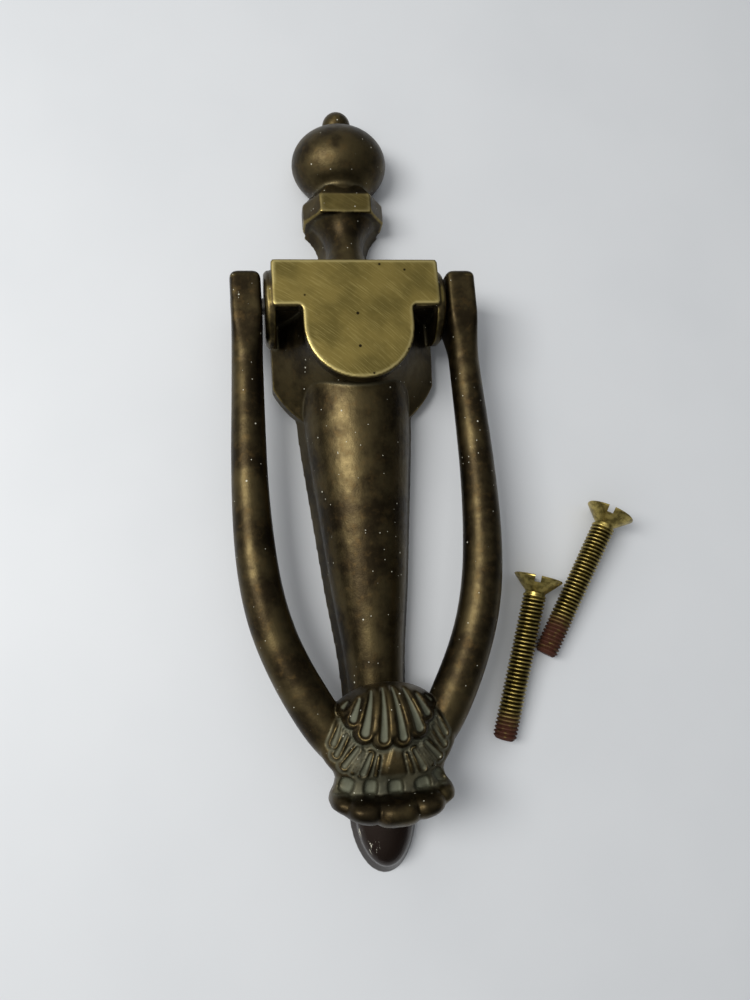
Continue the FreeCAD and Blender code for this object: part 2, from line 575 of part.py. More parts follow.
def main():
    """Builds every piece and writes one STEP file for each."""
    os.makedirs("parts", exist_ok=True)
    pieces = {
        "base": base(),
        "striker": striker(),
        "hinge_pin_left": hinge_pin(-1),
        "hinge_pin_right": hinge_pin(1),
    }
    for name, (x, y, heading) in SCREW_HEADS.items():
        pieces[name] = screw(x, y, heading)
    for name, shape in pieces.items():
        solids = shape.Solids
        print(name, "solids", len(solids), "valid", shape.isValid(), "volume %.1f" % shape.Volume,
              "box", [round(v, 2) for v in (shape.BoundBox.XMin, shape.BoundBox.YMin, shape.BoundBox.ZMin,
                                            shape.BoundBox.XMax, shape.BoundBox.YMax, shape.BoundBox.ZMax)])
        shape.exportStep("parts/" + name + ".step")


main()
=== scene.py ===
"""Looks of a cast brass door knocker: its main casting, its striker with a scallop shell, its hinge
pins and its two loose fixing screws. Blender works in metres, and the sizes below are millimetres.

The knocker lies on its back: the door face is Z = 0, Y runs up the door and X across.
"""

import bpy
import math
import numpy as np
from bpy.props import FloatProperty, FloatVectorProperty, PointerProperty
from mathutils import Matrix, Vector


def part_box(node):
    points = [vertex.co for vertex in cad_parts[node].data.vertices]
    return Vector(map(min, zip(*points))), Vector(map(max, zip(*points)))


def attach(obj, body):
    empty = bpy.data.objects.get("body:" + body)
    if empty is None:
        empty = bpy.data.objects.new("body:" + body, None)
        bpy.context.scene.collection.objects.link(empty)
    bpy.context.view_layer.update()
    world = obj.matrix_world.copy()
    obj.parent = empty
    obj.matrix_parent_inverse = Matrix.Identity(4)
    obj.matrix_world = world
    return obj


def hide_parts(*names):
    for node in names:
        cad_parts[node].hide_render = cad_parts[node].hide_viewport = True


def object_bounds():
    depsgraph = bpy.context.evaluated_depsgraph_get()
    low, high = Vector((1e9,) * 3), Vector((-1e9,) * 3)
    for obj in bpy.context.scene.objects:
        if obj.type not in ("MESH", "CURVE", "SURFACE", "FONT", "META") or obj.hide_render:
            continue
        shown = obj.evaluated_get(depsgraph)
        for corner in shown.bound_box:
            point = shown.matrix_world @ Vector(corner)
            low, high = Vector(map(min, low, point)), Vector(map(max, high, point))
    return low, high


bl_info = {
    "name": "Brass Door Knocker",
    "version": (1, 0, 0),
    "blender": (4, 5, 0),
    "location": "3D View > Sidebar > Knocker",
    "description": "Models and finishes a cast brass door knocker and its fixing screws",
    "category": "Object",
}

MM = 0.001
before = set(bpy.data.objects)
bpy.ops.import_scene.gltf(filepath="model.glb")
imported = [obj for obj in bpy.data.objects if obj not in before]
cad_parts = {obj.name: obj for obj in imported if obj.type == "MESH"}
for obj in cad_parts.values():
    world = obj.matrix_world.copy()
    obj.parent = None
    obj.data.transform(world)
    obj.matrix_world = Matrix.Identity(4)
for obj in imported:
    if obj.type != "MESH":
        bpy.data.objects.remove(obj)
cad_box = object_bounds()
head_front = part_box("base")[1].z


def linear(hex_colour):
    """Linear colour, with alpha, of an sRGB hex colour."""
    channels = [int(hex_colour[i:i + 2], 16) / 255 for i in (1, 3, 5)]
    return [c / 12.92 if c <= 0.04045 else ((c + 0.055) / 1.055) ** 2.4 for c in channels] + [1.0]


# ---- sizes and colours that a user may change ----

class KnockerSizes(bpy.types.PropertyGroup):
    """Sizes of the modelled detail."""

    casting_grain: FloatProperty(name="Casting grain", description="Mesh size of the main casting",
                                 default=0.42 * MM, subtype="DISTANCE", unit="LENGTH")
    striker_grain: FloatProperty(name="Striker grain", description="Mesh size of the striker",
                                 default=0.27 * MM, subtype="DISTANCE", unit="LENGTH")
    flute_depth: FloatProperty(name="Flute depth", description="Depth of the flutes in the shell's petals",
                               default=1.15 * MM, subtype="DISTANCE", unit="LENGTH")
    bead_height: FloatProperty(name="Bead height", description="Height of the raised lines round the tongues",
                               default=0.55 * MM, subtype="DISTANCE", unit="LENGTH")
    window_depth: FloatProperty(name="Window depth", description="Depth of the hollows above the lip's lobes",
                                default=1.8 * MM, subtype="DISTANCE", unit="LENGTH")
    thread_pitch: FloatProperty(name="Thread pitch", description="Pitch of the screws' thread",
                                default=1.0 * MM, subtype="DISTANCE", unit="LENGTH")
    thread_depth: FloatProperty(name="Thread depth", description="Depth of the screws' thread",
                                default=0.55 * MM, subtype="DISTANCE", unit="LENGTH")


def colour_property(name, description, hex_colour):
    return FloatVectorProperty(name=name, description=description, subtype="COLOR", size=4, min=0, max=1,
                               default=linear(hex_colour))


class KnockerFinishes(bpy.types.PropertyGroup):
    """Colours of the finishes."""

    patina: colour_property("Patina", "Olive-brown patina on the casting", "#4f452e")
    dark_patina: colour_property("Dark patina", "Darker clouds in the patina", "#2c2519")
    warm_patina: colour_property("Warm patina", "Browner clouds in the patina", "#57462b")
    worn_brass: colour_property("Worn brass", "Brass where handling has worn the patina thin", "#8d7d4c")
    verdigris: colour_property("Verdigris", "Grey-green deposit in the hollows", "#5f6150")
    buffed_brass: colour_property("Buffed brass", "Flat faces buffed back to metal", "#8c7c44")
    foot_brown: colour_property("Foot lacquer", "Glossy red-brown of the foot", "#20140b")
    steel: colour_property("Pin steel", "Steel of the hinge pins", "#8d8a84")
    screw_brass: colour_property("Screw brass", "Aged brass of the screws", "#786b3a")
    rust: colour_property("Rust", "Rust stain at the screws' tips", "#4a2616")
    table: colour_property("Table", "Pale table top", "#d3d6d9")


# ---- small helpers ----

def deselect():
    if bpy.context.object and bpy.context.object.mode != "OBJECT":
        bpy.ops.object.mode_set(mode="OBJECT")
    bpy.ops.object.select_all(action="DESELECT")


def pick(*objects):
    """Selects only these objects and makes the first one active."""
    deselect()
    for o in objects:
        o.select_set(True)
    bpy.context.view_layer.objects.active = objects[0]


def apply_modifier(piece, kind, **settings):
    """Adds a modifier with its settings and applies it."""
    pick(piece)
    modifier = piece.modifiers.new(kind.title(), kind)
    for name, value in settings.items():
        setattr(modifier, name, value)
    bpy.ops.object.modifier_apply(modifier=modifier.name)


def settle(piece):
    """Puts the object's place into its mesh, so that the object sits at the origin."""
    pick(piece)
    bpy.ops.object.transform_apply(location=True, rotation=True, scale=True)


def joined(name, pieces):
    """One object made of several."""
    pick(*pieces)
    bpy.ops.object.join()
    piece = bpy.context.object
    piece.name = name
    piece.data.name = name
    return piece


def rolled_sheet(name, rings):
    """Closed skin through a stack of rings: a grid rolled into a tube, its seam merged and its ends filled.
    rings has the shape (rows, points round, 3), in millimetres."""
    rows, around = rings.shape[:2]
    deselect()
    bpy.ops.mesh.primitive_grid_add(x_subdivisions=around, y_subdivisions=rows - 1, size=1)
    piece = bpy.context.object
    piece.name = name
    wrapped = np.concatenate([rings, rings[:, :1]], axis=1) * MM
    places = np.zeros(len(piece.data.vertices) * 3)
    piece.data.vertices.foreach_get("co", places)
    places = places.reshape(-1, 3)
    column = np.rint((places[:, 0] + 0.5) * around).astype(int)
    row = np.rint((places[:, 1] + 0.5) * (rows - 1)).astype(int)
    piece.data.vertices.foreach_set("co", wrapped[row, column].ravel())
    piece.data.update()
    bpy.ops.object.mode_set(mode="EDIT")
    bpy.ops.mesh.select_all(action="SELECT")
    bpy.ops.mesh.remove_doubles(threshold=0.002 * MM)
    bpy.ops.mesh.select_all(action="DESELECT")
    bpy.ops.mesh.select_mode(type="EDGE")
    bpy.ops.mesh.select_non_manifold()
    bpy.ops.mesh.edge_face_add()
    bpy.ops.mesh.select_mode(type="VERT")
    bpy.ops.mesh.select_all(action="SELECT")
    bpy.ops.mesh.normals_make_consistent(inside=False)
    bpy.ops.object.mode_set(mode="OBJECT")
    return piece


def cast_skin(piece, grain, smoothing, pattern=None, most_triangles=188000):
    """Melts the piece's solids into one skin with the soft edges of a casting. With a pattern, the skin is
    drawn back on to it."""
    apply_modifier(piece, "REMESH", mode="VOXEL", voxel_size=grain, adaptivity=0.0)
    if pattern:
        apply_modifier(piece, "SMOOTH", factor=0.5, iterations=2)
        apply_modifier(piece, "SHRINKWRAP", target=pattern, wrap_method="NEAREST_SURFACEPOINT")
    apply_modifier(piece, "SMOOTH", factor=0.5, iterations=smoothing)
    triangles = sum(len(p.vertices) - 2 for p in piece.data.polygons)
    if triangles > most_triangles:
        apply_modifier(piece, "DECIMATE", ratio=most_triangles / triangles)
    pick(piece)
    bpy.ops.object.shade_smooth()


def vertex_places(mesh):
    places = np.zeros(len(mesh.vertices) * 3)
    mesh.vertices.foreach_get("co", places)
    return places.reshape(-1, 3) / MM


def vertex_normals(mesh):
    normals = np.zeros(len(mesh.vertices) * 3, np.float32)
    mesh.vertex_normals.foreach_get("vector", normals)
    return normals.reshape(-1, 3)


def neighbour_mean(edges, values, rounds):
    """Values averaged with their neighbours' along the edges, a number of times."""
    count = len(values)
    degree = np.bincount(edges.ravel(), minlength=count)[:, None].clip(1)
    for _ in range(rounds):
        total = np.zeros_like(values)
        for axis in range(values.shape[1]):
            total[:, axis] = (np.bincount(edges[:, 0], values[edges[:, 1], axis], count)
                              + np.bincount(edges[:, 1], values[edges[:, 0], axis], count))
        values = 0.5 * values + 0.5 * total / degree
    return values


def mark(piece, name, values):
    """Stores one number per vertex for the materials to read."""
    attribute = piece.data.attributes.new(name, "FLOAT", "POINT")
    attribute.data.foreach_set("value", np.asarray(values, np.float32))


def mark_relief(piece, rounds):
    """Stores how far each vertex stands proud of, or sinks below, the skin round it: 1 is 0.1 mm."""
    edges = np.zeros(len(piece.data.edges) * 2, np.int64)
    piece.data.edges.foreach_get("vertices", edges)
    edges = edges.reshape(-1, 2)
    places = vertex_places(piece.data)
    softened = neighbour_mean(edges, places, rounds)
    relief = ((places - softened) * vertex_normals(piece.data)).sum(1)
    relief = neighbour_mean(edges, relief[:, None], 2)[:, 0]
    mark(piece, "relief", np.clip(relief / 0.1, -2, 2))


def rise(value, low, high):
    """0 below low, 1 above high and a smooth rise between."""
    t = np.clip((value - low) / (high - low), 0, 1)
    return t * t * (3 - 2 * t)


# ---- materials ----

def add(tree, kind, links=None, **settings):
    """Adds a node, sets it and links its inputs: links maps an input to a value or to a node's output."""
    made = tree.nodes.new(kind)
    for name, value in settings.items():
        setattr(made, name, value)
    for name, value in (links or {}).items():
        if isinstance(value, bpy.types.NodeSocket):
            tree.links.new(value, made.inputs[name])
        else:
            made.inputs[name].default_value = value
    return made


def new_material(name):
    """Empty material with an output, and its node tree."""
    material = bpy.data.materials.new(name)
    material.use_nodes = True
    material.node_tree.nodes.clear()
    return material, material.node_tree


def finish_material(tree, shader):
    output = add(tree, "ShaderNodeOutputMaterial")
    tree.links.new(shader.outputs[0], output.inputs["Surface"])


def wear_mask(tree, source, low, high):
    """Smooth mask from 0 at low to 1 at high."""
    return add(tree, "ShaderNodeMapRange", {"Value": source, "From Min": low, "From Max": high},
               interpolation_type="SMOOTHSTEP").outputs["Result"]


def grain_noise(tree, place, size_mm, detail=3.0, roughness=0.55):
    """Noise whose clouds are about size_mm across."""
    return add(tree, "ShaderNodeTexNoise", {"Vector": place, "Scale": 1 / (size_mm * MM), "Detail": detail,
                                            "Roughness": roughness}).outputs["Fac"]


def blend_colour(tree, share, under, over):
    return add(tree, "ShaderNodeMix", {0: share, 6: under, 7: over}, data_type="RGBA").outputs[2]


def blend_number(tree, share, under, over):
    return add(tree, "ShaderNodeMix", {0: share, 2: under, 3: over}, data_type="FLOAT").outputs[0]


def times(tree, a, b):
    return add(tree, "ShaderNodeMath", {0: a, 1: b}, operation="MULTIPLY").outputs[0]


def larger(tree, a, b):
    return add(tree, "ShaderNodeMath", {0: a, 1: b}, operation="MAXIMUM").outputs[0]


def dust_specks(tree, place, cell_mm, radius_share, crowd):
    """Mask of small round specks: one may lie in each cell, and only where the crowd noise is high."""
    cells = add(tree, "ShaderNodeTexVoronoi", {"Vector": place, "Scale": 1 / (cell_mm * MM)})
    dot = wear_mask(tree, cells.outputs["Distance"], radius_share, radius_share * 0.55)
    chance = add(tree, "ShaderNodeSeparateColor", {0: cells.outputs["Color"]})
    here = wear_mask(tree, chance.outputs[0], crowd, crowd + 0.02)
    return times(tree, dot, here)


def patinated_brass(finishes):
    """Sand-cast brass under a brown patina: semi-gloss metal, mottled in clouds about a centimetre wide, worn
    brighter on edges and beads, grey-green and dull in hollows, with white specks of old lime wash."""
    material, tree = new_material("Patinated cast brass")
    place = add(tree, "ShaderNodeTexCoord").outputs["Object"]
    relief = add(tree, "ShaderNodeAttribute", attribute_name="relief").outputs["Fac"]
    hollow = add(tree, "ShaderNodeAttribute", attribute_name="verdigris").outputs["Fac"]
    buffed = add(tree, "ShaderNodeAttribute", attribute_name="buffed").outputs["Fac"]
    foot = add(tree, "ShaderNodeAttribute", attribute_name="foot").outputs["Fac"]
    paint = add(tree, "ShaderNodeAttribute", attribute_name="paint").outputs["Fac"]
    clouds = grain_noise(tree, place, 11, 4, 0.6)
    mottle = grain_noise(tree, place, 2.2, 4, 0.65)
    grit = grain_noise(tree, place, 0.45, 2, 0.6)

    # patina: dark clouds, warm clouds and a fine mottle over olive brown
    colour = blend_colour(tree, wear_mask(tree, clouds, 0.62, 0.36), list(finishes.patina),
                          list(finishes.dark_patina))
    colour = blend_colour(tree, times(tree, wear_mask(tree, mottle, 0.5, 0.72), 0.4), colour,
                          list(finishes.warm_patina))
    thin = add(tree, "ShaderNodeMath", {0: mottle, 1: 2.2, 2: -1.1}, operation="MULTIPLY_ADD").outputs[0]
    worn = add(tree, "ShaderNodeMath", {0: relief, 1: thin}, operation="ADD").outputs[0]
    worn = wear_mask(tree, worn, 0.7, 2.2)
    colour = blend_colour(tree, times(tree, worn, 0.7), colour, list(finishes.worn_brass))
    roughness = blend_number(tree, wear_mask(tree, mottle, 0.3, 0.7), 0.36, 0.47)
    roughness = blend_number(tree, worn, roughness, 0.28)

    # verdigris: dull mineral crust in the hollows, with some dust in every crease
    crease = wear_mask(tree, relief, -0.35, -1.3)
    crust = larger(tree, hollow, times(tree, crease, 0.2))
    patchy = add(tree, "ShaderNodeMath", {0: mottle, 1: 0.9, 2: 0.5}, operation="MULTIPLY_ADD",
                 use_clamp=True).outputs[0]
    crust = times(tree, crust, patchy)
    colour = blend_colour(tree, crust, colour, list(finishes.verdigris))
    roughness = blend_number(tree, crust, roughness, 0.72)
    metallic = blend_number(tree, crust, 1.0, 0.35)

    # foot: rubbed glossy and nearly black-brown, with scraped white paint
    colour = blend_colour(tree, foot, colour, list(finishes.foot_brown))
    roughness = blend_number(tree, foot, roughness, 0.2)
    metallic = blend_number(tree, foot, metallic, 0.55)

    # buffed faces: brass with fine curved scratches, small casting pits and a painted highlight round the rim
    from_corner = add(tree, "ShaderNodeVectorMath", {0: place, 1: (-0.075, -0.035, 0)}, operation="SUBTRACT")
    reach = add(tree, "ShaderNodeVectorMath", {0: from_corner.outputs[0]},
                operation="LENGTH").outputs["Value"]
    split = add(tree, "ShaderNodeSeparateXYZ", {0: from_corner.outputs[0]})
    sweep = add(tree, "ShaderNodeMath", {0: split.outputs[1], 1: split.outputs[0]},
                operation="ARCTAN2").outputs[0]
    along = add(tree, "ShaderNodeCombineXYZ", {0: times(tree, reach, 3400.0), 1: times(tree, sweep, 16.0)})
    scratches = add(tree, "ShaderNodeTexNoise", {"Vector": along.outputs[0], "Scale": 1.0,
                                                 "Detail": 3.0, "Roughness": 0.7}).outputs["Fac"]
    polish = grain_noise(tree, place, 9, 3, 0.5)
    dull_share = wear_mask(tree, polish, 0.35, 0.7)
    brass = blend_colour(tree, dull_share, list(finishes.buffed_brass), linear("#6f6335"))
    scratch_share = times(tree, wear_mask(tree, scratches, 0.48, 0.72), 0.5)
    brass = blend_colour(tree, scratch_share, brass, linear("#b3a365"))
    # painted highlight: the rounded rim of the buffed faces is lightened to pale brass all round, in place of
    # light caught on the edge
    rim_highlight_share = times(tree, wear_mask(tree, relief, 0.25, 1.4), 0.5)
    brass = blend_colour(tree, rim_highlight_share, brass, linear("#d9c98a"))
    pits = dust_specks(tree, place, 3.1, 0.16, 0.72)
    brass = blend_colour(tree, pits, brass, linear("#2b2416"))
    colour = blend_colour(tree, buffed, colour, brass)
    roughness = blend_number(tree, buffed, roughness, blend_number(tree, scratches, 0.30, 0.42))
    metallic = blend_number(tree, buffed, metallic, 1.0)

    # lime-wash specks a third of a millimetre wide, and the paint on the foot
    specks = dust_specks(tree, place, 2.6, 0.10, 0.80)
    dust = dust_specks(tree, place, 1.1, 0.14, 0.88)
    white = larger(tree, specks, dust)
    white = times(tree, white, blend_number(tree, buffed, 0.9, 0.05))
    smear = add(tree, "ShaderNodeMapping", {0: place, "Rotation": (0, 0, 0.9), "Scale": (1.0, 0.33, 1.0)})
    flakes = wear_mask(tree, grain_noise(tree, smear.outputs[0], 0.75, 3, 0.7), 0.55, 0.62)
    white = larger(tree, white, times(tree, flakes, paint))
    colour = blend_colour(tree, white, colour, linear("#cfccba"))
    roughness = blend_number(tree, white, roughness, 0.8)
    metallic = blend_number(tree, white, metallic, 0.0)

    # skin of the sand mould, flattened where the face is buffed or the foot rubbed
    plain = add(tree, "ShaderNodeMath", {0: 1.0, 1: buffed}, operation="SUBTRACT", use_clamp=True).outputs[0]
    sand = times(tree, add(tree, "ShaderNodeMath", {0: grit, 1: mottle}, operation="ADD").outputs[0], plain)
    skin = add(tree, "ShaderNodeMath", {0: sand, 1: times(tree, times(tree, scratches, buffed), 0.35)},
               operation="ADD").outputs[0]
    bump = add(tree, "ShaderNodeBump", {"Height": skin, "Strength": 0.5, "Distance": 0.055 * MM})
    shader = add(tree, "ShaderNodeBsdfPrincipled", {"Base Color": colour, "Metallic": metallic,
                                                    "Roughness": roughness, "Normal": bump.outputs[0]})
    finish_material(tree, shader)
    return material


def screw_brass(finishes):
    """Turned brass, aged olive: dark in the thread's roots, bright on its crests, rust-stained at the tip."""
    material, tree = new_material("Aged turned brass")
    place = add(tree, "ShaderNodeTexCoord").outputs["Object"]
    crest = add(tree, "ShaderNodeAttribute", attribute_name="crest").outputs["Fac"]
    tip = add(tree, "ShaderNodeAttribute", attribute_name="tip").outputs["Fac"]
    mottle = grain_noise(tree, place, 1.6, 4, 0.65)
    colour = blend_colour(tree, wear_mask(tree, mottle, 0.35, 0.65), list(finishes.screw_brass),
                          linear("#5d5029"))
    colour = blend_colour(tree, wear_mask(tree, crest, 0.45, 0.0), colour, linear("#221b0f"))
    bright = times(tree, wear_mask(tree, crest, 0.8, 1.0), wear_mask(tree, mottle, 0.35, 0.6))
    colour = blend_colour(tree, bright, colour, linear("#b5a35f"))
    stain = times(tree, tip, wear_mask(tree, mottle, 0.25, 0.5))
    colour = blend_colour(tree, stain, colour, list(finishes.rust))
    roughness = blend_number(tree, stain, blend_number(tree, mottle, 0.3, 0.45), 0.75)
    metallic = blend_number(tree, stain, 1.0, 0.4)
    bump = add(tree, "ShaderNodeBump", {"Height": grain_noise(tree, place, 0.3, 2), "Strength": 0.4,
                                        "Distance": 0.03 * MM})
    finish_material(tree, add(tree, "ShaderNodeBsdfPrincipled", {
        "Base Color": colour, "Metallic": metallic, "Roughness": roughness, "Normal": bump.outputs[0]}))
    return material


def pin_steel(finishes):
    """Drawn steel, filed flush: grey metal with file marks and a brown bloom of rust."""
    material, tree = new_material("Filed steel")
    place = add(tree, "ShaderNodeTexCoord").outputs["Object"]
    marks = add(tree, "ShaderNodeMapping", {0: place, "Scale": (1.0, 0.12, 1.0), "Rotation": (0.6, 0, 0)})
    lines = grain_noise(tree, marks.outputs[0], 0.12, 2)
    bloom = grain_noise(tree, place, 1.3, 4, 0.6)
    colour = blend_colour(tree, wear_mask(tree, bloom, 0.45, 0.65), list(finishes.steel), linear("#4b3828"))
    bump = add(tree, "ShaderNodeBump", {"Height": lines, "Strength": 0.4, "Distance": 0.02 * MM})
    finish_material(tree, add(tree, "ShaderNodeBsdfPrincipled", {
        "Base Color": colour, "Metallic": 1.0, "Roughness": blend_number(tree, bloom, 0.3, 0.6),
        "Normal": bump.outputs[0]}))
    return material


def table_top(finishes):
    """Painted board: matt and pale, with faint smudges a few centimetres wide."""
    material, tree = new_material("Pale painted board")
    place = add(tree, "ShaderNodeTexCoord").outputs["Object"]
    smudge = wear_mask(tree, grain_noise(tree, place, 45, 3, 0.5), 0.3, 0.8)
    colour = blend_colour(tree, times(tree, smudge, 0.25), list(finishes.table), linear("#c3c7cb"))
    finish_material(tree, add(tree, "ShaderNodeBsdfPrincipled", {"Base Color": colour, "Roughness": 0.55}))
    return material


def casting_finish():
    """The patinated brass, made once for both castings."""
    made = bpy.data.materials.get("Patinated cast brass")
    return made or patinated_brass(bpy.context.scene.knocker_finishes)


# ---- main casting ----

COLLAR_BUFFING = 0.45           # the collar's flat front is buffed less than the head plate
FOOT_RUB_STARTS = (63.5, 66.5)  # distance below the origin over which the rubbed foot begins


class KNOCKER_OT_base(bpy.types.Operator):
    """Gives the main casting soft cast edges, buffed flats and a rubbed foot"""

    bl_idname = "knocker.base"
    bl_label = "Main casting"

    def execute(self, context):
        sizes = context.scene.knocker_sizes
        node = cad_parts["base"]
        piece = bpy.data.objects.new("main_casting", node.data.copy())
        context.scene.collection.objects.link(piece)
        pick(piece)
        bpy.ops.object.mode_set(mode="EDIT")
        bpy.ops.mesh.select_all(action="SELECT")
        bpy.ops.mesh.remove_doubles(threshold=0.002 * MM)
        bpy.ops.object.mode_set(mode="OBJECT")
        cast_skin(piece, sizes.casting_grain, 2, pattern=node)
        mark_relief(piece, 10)
        places, normals = vertex_places(piece.data), vertex_normals(piece.data)
        x, y, z = places.T
        faces_out = rise(normals[:, 2], 0.90, 0.985)
        plate = rise(z, head_front / MM - 0.6, head_front / MM - 0.25)
        collar_length = rise(y, 84.8, 85.6) * rise(-y, -91.3, -90.6)
        collar = collar_length * rise(z, 12.9, 13.3) * rise(-np.abs(x), -7.1, -6.4)
        mark(piece, "buffed", faces_out * np.clip(plate + COLLAR_BUFFING * collar, 0, 1))
        mark(piece, "foot", rise(-y, *FOOT_RUB_STARTS))
        scrape = np.exp(-((x + 3.6) / 1.3) ** 2 - ((y + 72.2) / 2.2) ** 2)
        nick = 0.8 * np.exp(-((x + 6.4) / 0.6) ** 2 - ((y + 69.4) / 1.3) ** 2)
        mark(piece, "paint", rise(scrape + nick, 0.25, 0.7) * rise(z, 3.0, 4.0))
        mark(piece, "verdigris", np.zeros(len(x)))
        piece.data.materials.clear()
        piece.data.materials.append(casting_finish())
        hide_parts("base")
        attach(piece, "base")
        return {"FINISHED"}


# ---- striker ----

# centre of the right arm's round bar down from its knuckle, and its radius: X, Y, radius
ARM_LINE = [
    (26.95, 57.0, 3.75), (27.3, 46.5, 3.8), (27.65, 35.0, 3.95), (28.0, 24.6, 4.2), (28.2, 15.2, 4.35),
    (28.1, 5.9, 4.6), (27.7, -2.5, 4.8), (26.9, -10.3, 4.9), (25.5, -17.6, 5.0), (23.4, -24.4, 5.0),
    (20.3, -31.7, 5.1), (17.0, -37.9, 5.2), (13.8, -43.6, 5.1), (10.8, -48.4, 4.3), (8.2, -52.2, 3.0),
]
ARM_Z = 14.5
# strike pad behind the shell: radius, length and the place of its middle
PAD_RADIUS, PAD_LENGTH, PAD_Y, PAD_Z = 4.2, 5.0, -58.2, 12.72

# petals of the shell's dome: root X, Y, radius and end X, Y, radius, for the right half
PETALS = [
    (0.95, -35.6, 1.1, 2.2, -45.75, 2.25),
    (3.2, -35.9, 1.2, 6.1, -44.3, 2.3),
    (5.9, -36.6, 1.3, 8.5, -41.3, 1.95),
    (8.3, -37.4, 1.2, 10.2, -38.9, 1.5),
]
# ribs that fill the dome between its petals, and the crown along its top edge
RIBS = [
    (0.0, -35.8, 1.5, 0.0, -44.3, 1.8),
    (2.1, -35.8, 1.4, 4.2, -43.3, 1.8),
    (4.6, -36.3, 1.4, 7.3, -41.0, 1.6),
    (7.1, -37.0, 1.3, 9.3, -38.9, 1.2),
    (0.0, -35.6, 1.4, 4.5, -36.0, 1.4),
    (4.5, -36.0, 1.4, 9.4, -38.2, 1.3),
]
FLUTES = [
    (1.1, -35.3, 0.35, 2.15, -45.5, 0.95),
    (3.65, -35.7, 0.35, 6.05, -44.0, 1.0),
    (6.4, -37.1, 0.35, 8.3, -41.1, 0.8),
    (9.0, -37.6, 0.25, 10.1, -38.7, 0.45),
]
# tongues of the lower tier, outlined by raised beads
TONGUES = [
    (11.0, -42.2, 0.6, 12.7, -46.2, 0.9),
    (9.8, -44.4, 0.6, 12.3, -48.6, 0.85),
    (7.6, -47.4, 0.7, 10.7, -51.0, 0.95),
    (6.6, -48.5, 0.3, 8.9, -52.3, 0.45),
    (4.9, -49.0, 0.7, 6.8, -52.9, 1.0),
    (3.2, -49.6, 0.1, 4.1, -53.6, 0.15),
]
# lobes along the lip: centre X, Y, half-width, half-length and front Z
LOBES = [
    (0.25, -61.3, 4.05, 3.6, 26.9),
    (-7.0, -60.8, 3.3, 3.3, 26.2), (7.15, -60.8, 3.05, 3.3, 26.2),
    (-12.0, -59.7, 2.0, 2.7, 23.9), (11.95, -59.5, 2.0, 2.7, 23.9),
]
# hollows above the lobes: centre X, Y, half-width, half-length and turn in degrees
WINDOWS = [
    (0.3, -56.7, 1.75, 1.75, 0), (-5.2, -56.2, 1.55, 1.75, -8), (6.6, -56.7, 1.9, 1.6, 12),
    (-10.4, -55.5, 1.6, 1.75, -25), (10.9, -55.6, 1.15, 2.1, 38),
]


def capsule(x, y, line, mirrored=True):
    """Distance in the plane to a tapered round-ended bar, below 0 inside it."""
    ax, ay, ar, bx, by, br = line
    px = np.abs(x) if mirrored else x
    dx, dy = bx - ax, by - ay
    share = np.clip(((px - ax) * dx + (y - ay) * dy) / (dx * dx + dy * dy), 0, 1)
    return np.hypot(px - ax - share * dx, y - ay - share * dy) - (ar + share * (br - ar))


